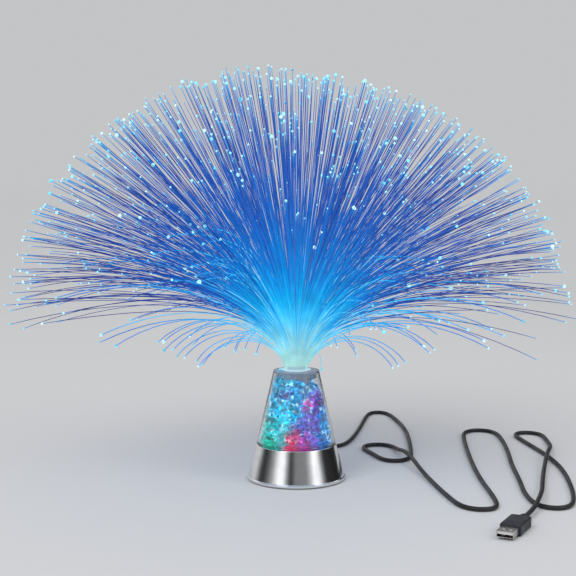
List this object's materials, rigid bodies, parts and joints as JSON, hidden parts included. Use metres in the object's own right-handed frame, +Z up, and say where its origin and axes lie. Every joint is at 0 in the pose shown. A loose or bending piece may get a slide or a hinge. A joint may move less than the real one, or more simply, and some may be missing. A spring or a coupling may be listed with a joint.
{
  "type": "fiber optic lamp",
  "caption": "Table lamp with a dome of light fibres over a clear cone of coloured crystals, a plated base with a battery bay and switch underneath, and a USB cord.",
  "frame": {"origin": "on the floor, on the lamp's axis, at the middle of the ring foot's underside", "axes": "+Z up the lamp's axis; +Y to the rear, where the cord leaves the base; +X to the right seen from the front"},
  "size_m": [0.4612, 0.491, 0.3316],
  "materials": {
    "foot_rubber": "soft foam rubber",
    "chrome_plating": "mirror-bright plating on ABS",
    "black_plastic": "fine moulded texture",
    "plated_spring": "nickel-plated strip",
    "switch_housing": "moulded",
    "switch_knob": "moulded",
    "board_green": "lacquered board",
    "led_white": "moulded lens",
    "clear_acrylic": "polished clear moulding",
    "frosted_acrylic": "frosted",
    "smoke_cap": "translucent grey moulding",
    "clear_tube": "clear extrusion",
    "lead_copper": "insulated wire",
    "crystal_teal": "clear acrylic crystal in teal light",
    "crystal_blue": "clear acrylic crystal in blue light",
    "crystal_violet": "clear acrylic crystal in violet light",
    "crystal_pink": "clear acrylic crystal in pink light",
    "ferrule_white": "moulded sleeve",
    "fibre_core": "lit fibre ends, potted",
    "fibre_blue": "lit optical fibre",
    "fibre_violet": "lit optical fibre",
    "cord_rubber": "soft black jacket",
    "plug_black": "moulded grip",
    "plug_steel": "nickel-plated steel",
    "plug_tongue": "moulded",
    "plug_gold": "gold-plated contact"
  },
  "bodies": {
    "base": {"foot_ring": "foot_rubber", "base_shell": "chrome_plating", "base_cover": "black_plastic", "battery_contacts": "plated_spring", "switch_body": "switch_housing", "light_board": "board_green", "crystal_lights": "led_white", "container": "clear_acrylic", "diffuser": "frosted_acrylic", "top_cap": "smoke_cap", "spray_board": "board_green", "spray_light": "led_white", "lead_tube": "clear_tube", "spray_leads": "lead_copper", "crystals_teal": "crystal_teal", "crystals_blue": "crystal_blue", "crystals_violet": "crystal_violet", "crystals_pink": "crystal_pink", "strain_relief": "cord_rubber", "usb_cord": "cord_rubber", "plug_boot": "plug_black", "plug_grip": "plug_black", "plug_shell": "plug_steel", "plug_tongue": "plug_tongue", "plug_contacts": "plug_gold"},
    "fibre_spray": {"ferrule": "ferrule_white", "fibre_bundle": "fibre_core", "fibres_crown": "fibre_blue", "fibres_upper": "fibre_blue", "fibres_middle": "fibre_blue", "fibres_lower": "fibre_violet", "fibres_skirt": "fibre_violet"},
    "battery_door": {"battery_door": "black_plastic"},
    "switch_knob": {"switch_knob": "switch_knob"}
  },
  "joints": [
    {"name": "battery_door_hinge", "type": "hinge", "parent": "base", "child": "battery_door", "pos_m": [0, 0.02325, 0.0028], "axis": [1, 0, 0], "range_deg": [0, 90]},
    {"name": "switch_slide", "type": "slide", "parent": "base", "child": "switch_knob", "axis": [0, 1, 0], "range_m": [0, 0.004]},
    {"name": "spray_lift", "type": "slide", "parent": "base", "child": "fibre_spray", "axis": [0, 0, 1], "range_m": [0, 0.02]}
  ]
}
